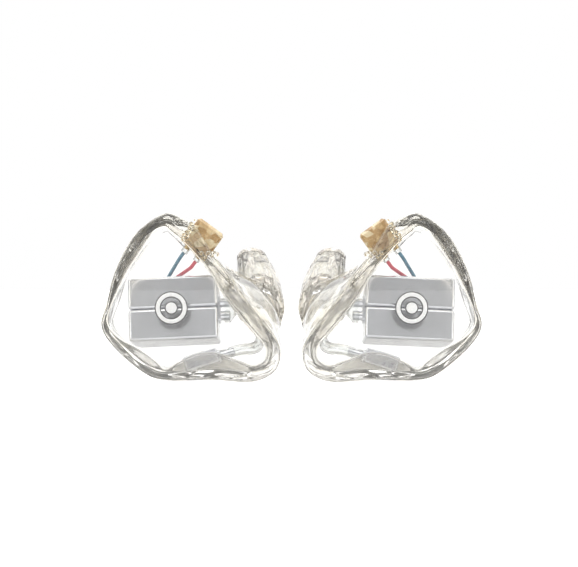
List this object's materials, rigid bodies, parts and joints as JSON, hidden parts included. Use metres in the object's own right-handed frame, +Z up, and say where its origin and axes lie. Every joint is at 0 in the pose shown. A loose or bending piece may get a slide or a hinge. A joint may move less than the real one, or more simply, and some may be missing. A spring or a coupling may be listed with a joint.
{
  "type": "in ear monitors",
  "caption": "Pair of clear custom-moulded in-ear monitors with balanced-armature receivers, amber cable sockets and sound tubes running to each canal tip.",
  "frame": {"origin": "centre of the pair's bounding box, halfway between the two monitors", "axes": "+X towards the wearer's left ear, +Y into the head (the faceplates face -Y), +Z up"},
  "size_m": [0.0514, 0.0228, 0.0228],
  "materials": {
    "clear_acrylic": "clear, high gloss, hand-moulded",
    "badge_white": "satin white inlay",
    "amber_resin": "amber translucent, faceted",
    "gold_contact": "gold-plated",
    "clear_sleeve": "clear, soft",
    "wire_red": "insulation, satin",
    "wire_blue": "insulation, satin",
    "receiver_steel": "satin grey",
    "motor_copper": "enamelled copper",
    "motor_magnet": "plated magnet and yoke",
    "reed_alloy": "nickel-iron strip",
    "diaphragm_foil": "thin foil on a stiff paddle",
    "clear_tube": "clear, soft",
    "damper_mesh": "woven mesh in a short cup",
    "board_green": "solder mask"
  },
  "bodies": {
    "right_monitor": {"right_faceplate": "clear_acrylic", "right_faceplate_badge": "badge_white", "right_shell": "clear_acrylic", "right_socket_block": "amber_resin", "right_socket_contacts": "gold_contact", "right_terminal_board": "board_green", "right_tube_dampers": "damper_mesh", "right_tweeter_case": "receiver_steel", "right_tweeter_cover": "receiver_steel", "right_tweeter_motor": "motor_magnet", "right_tweeter_spout": "receiver_steel", "right_tweeter_tube": "clear_tube", "right_wire_blue": "wire_blue", "right_wire_red": "wire_red", "right_wire_sleeves": "clear_sleeve", "right_woofer_boot": "clear_tube", "right_woofer_case_lower": "receiver_steel", "right_woofer_case_upper": "receiver_steel", "right_woofer_coils": "motor_copper", "right_woofer_cover_lower": "receiver_steel", "right_woofer_cover_upper": "receiver_steel", "right_woofer_magnets": "motor_magnet", "right_woofer_spouts": "receiver_steel", "right_woofer_tube": "clear_tube"},
    "left_monitor": {"left_faceplate": "clear_acrylic", "left_faceplate_badge": "badge_white", "left_shell": "clear_acrylic", "left_socket_block": "amber_resin", "left_socket_contacts": "gold_contact", "left_terminal_board": "board_green", "left_tube_dampers": "damper_mesh", "left_tweeter_case": "receiver_steel", "left_tweeter_cover": "receiver_steel", "left_tweeter_motor": "motor_magnet", "left_tweeter_spout": "receiver_steel", "left_tweeter_tube": "clear_tube", "left_wire_blue": "wire_blue", "left_wire_red": "wire_red", "left_wire_sleeves": "clear_sleeve", "left_woofer_boot": "clear_tube", "left_woofer_case_lower": "receiver_steel", "left_woofer_case_upper": "receiver_steel", "left_woofer_coils": "motor_copper", "left_woofer_cover_lower": "receiver_steel", "left_woofer_cover_upper": "receiver_steel", "left_woofer_magnets": "motor_magnet", "left_woofer_spouts": "receiver_steel", "left_woofer_tube": "clear_tube"},
    "right_woofer_reed_upper_body": {"right_woofer_reed_upper": "reed_alloy"},
    "right_woofer_diaphragm_upper_body": {"right_woofer_diaphragm_upper": "diaphragm_foil"},
    "right_woofer_reed_lower_body": {"right_woofer_reed_lower": "reed_alloy"},
    "right_woofer_diaphragm_lower_body": {"right_woofer_diaphragm_lower": "diaphragm_foil"},
    "right_tweeter_reed_body": {"right_tweeter_reed": "reed_alloy"},
    "right_tweeter_diaphragm_body": {"right_tweeter_diaphragm": "diaphragm_foil"},
    "left_woofer_reed_upper_body": {"left_woofer_reed_upper": "reed_alloy"},
    "left_woofer_diaphragm_upper_body": {"left_woofer_diaphragm_upper": "diaphragm_foil"},
    "left_woofer_reed_lower_body": {"left_woofer_reed_lower": "reed_alloy"},
    "left_woofer_diaphragm_lower_body": {"left_woofer_diaphragm_lower": "diaphragm_foil"},
    "left_tweeter_reed_body": {"left_tweeter_reed": "reed_alloy"},
    "left_tweeter_diaphragm_body": {"left_tweeter_diaphragm": "diaphragm_foil"}
  },
  "joints": [
    {"name": "left_monitor_apart", "type": "slide", "parent": "right_monitor", "child": "left_monitor", "axis": [1, 0, 0], "range_m": [0, 0.04]},
    {"name": "right_woofer_reed_upper_flex", "type": "hinge", "parent": "right_monitor", "child": "right_woofer_reed_upper_body", "pos_m": [-0.02155, -0.00489, 0.00054], "axis": [0.0871, 0.9628, -0.2556], "range_deg": [-0.5, 0.5], "stiffness_Nm_per_rad": 0.004},
    {"name": "right_woofer_diaphragm_upper_flex", "type": "hinge", "parent": "right_monitor", "child": "right_woofer_diaphragm_upper_body", "pos_m": [-0.0215, -0.0054, -0.00138], "axis": [0.0871, 0.9628, -0.2556], "range_deg": [-0.5, 0.5]},
    {"name": "right_woofer_reed_lower_flex", "type": "hinge", "parent": "right_monitor", "child": "right_woofer_reed_lower_body", "pos_m": [-0.02141, -0.0063, -0.00474], "axis": [0.0871, 0.9628, -0.2556], "range_deg": [-0.5, 0.5], "stiffness_Nm_per_rad": 0.004},
    {"name": "right_woofer_diaphragm_lower_flex", "type": "hinge", "parent": "right_monitor", "child": "right_woofer_diaphragm_lower_body", "pos_m": [-0.02146, -0.00579, -0.00282], "axis": [0.0871, 0.9628, -0.2556], "range_deg": [-0.5, 0.5]},
    {"name": "right_tweeter_reed_flex", "type": "hinge", "parent": "right_monitor", "child": "right_tweeter_reed_body", "pos_m": [-0.01412, -0.00843, -0.00915], "axis": [0.0667, 0.9966, -0.0492], "range_deg": [-0.5, 0.5], "stiffness_Nm_per_rad": 0.001},
    {"name": "right_tweeter_diaphragm_flex", "type": "hinge", "parent": "right_monitor", "child": "right_tweeter_diaphragm_body", "pos_m": [-0.01438, -0.00837, -0.00832], "axis": [0.0667, 0.9966, -0.0492], "range_deg": [-0.5, 0.5]},
    {"name": "left_woofer_reed_upper_flex", "type": "hinge", "parent": "left_monitor", "child": "left_woofer_reed_upper_body", "pos_m": [0.02155, -0.00489, 0.00054], "axis": [-0.0871, 0.9628, -0.2556], "range_deg": [-0.5, 0.5], "stiffness_Nm_per_rad": 0.004},
    {"name": "left_woofer_diaphragm_upper_flex", "type": "hinge", "parent": "left_monitor", "child": "left_woofer_diaphragm_upper_body", "pos_m": [0.0215, -0.0054, -0.00138], "axis": [-0.0871, 0.9628, -0.2556], "range_deg": [-0.5, 0.5]},
    {"name": "left_woofer_reed_lower_flex", "type": "hinge", "parent": "left_monitor", "child": "left_woofer_reed_lower_body", "pos_m": [0.02141, -0.0063, -0.00474], "axis": [-0.0871, 0.9628, -0.2556], "range_deg": [-0.5, 0.5], "stiffness_Nm_per_rad": 0.004},
    {"name": "left_woofer_diaphragm_lower_flex", "type": "hinge", "parent": "left_monitor", "child": "left_woofer_diaphragm_lower_body", "pos_m": [0.02146, -0.00579, -0.00282], "axis": [-0.0871, 0.9628, -0.2556], "range_deg": [-0.5, 0.5]},
    {"name": "left_tweeter_reed_flex", "type": "hinge", "parent": "left_monitor", "child": "left_tweeter_reed_body", "pos_m": [0.01412, -0.00843, -0.00915], "axis": [-0.0667, 0.9966, -0.0492], "range_deg": [-0.5, 0.5], "stiffness_Nm_per_rad": 0.001},
    {"name": "left_tweeter_diaphragm_flex", "type": "hinge", "parent": "left_monitor", "child": "left_tweeter_diaphragm_body", "pos_m": [0.01438, -0.00837, -0.00832], "axis": [-0.0667, 0.9966, -0.0492], "range_deg": [-0.5, 0.5]}
  ],
  "couplings": [
    {"joint": "right_woofer_diaphragm_upper_flex", "follows": "right_woofer_reed_upper_flex", "ratio": 1},
    {"joint": "right_woofer_diaphragm_lower_flex", "follows": "right_woofer_reed_lower_flex", "ratio": 1},
    {"joint": "right_tweeter_diaphragm_flex", "follows": "right_tweeter_reed_flex", "ratio": 1},
    {"joint": "left_woofer_diaphragm_upper_flex", "follows": "left_woofer_reed_upper_flex", "ratio": 1},
    {"joint": "left_woofer_diaphragm_lower_flex", "follows": "left_woofer_reed_lower_flex", "ratio": 1},
    {"joint": "left_tweeter_diaphragm_flex", "follows": "left_tweeter_reed_flex", "ratio": 1}
  ]
}
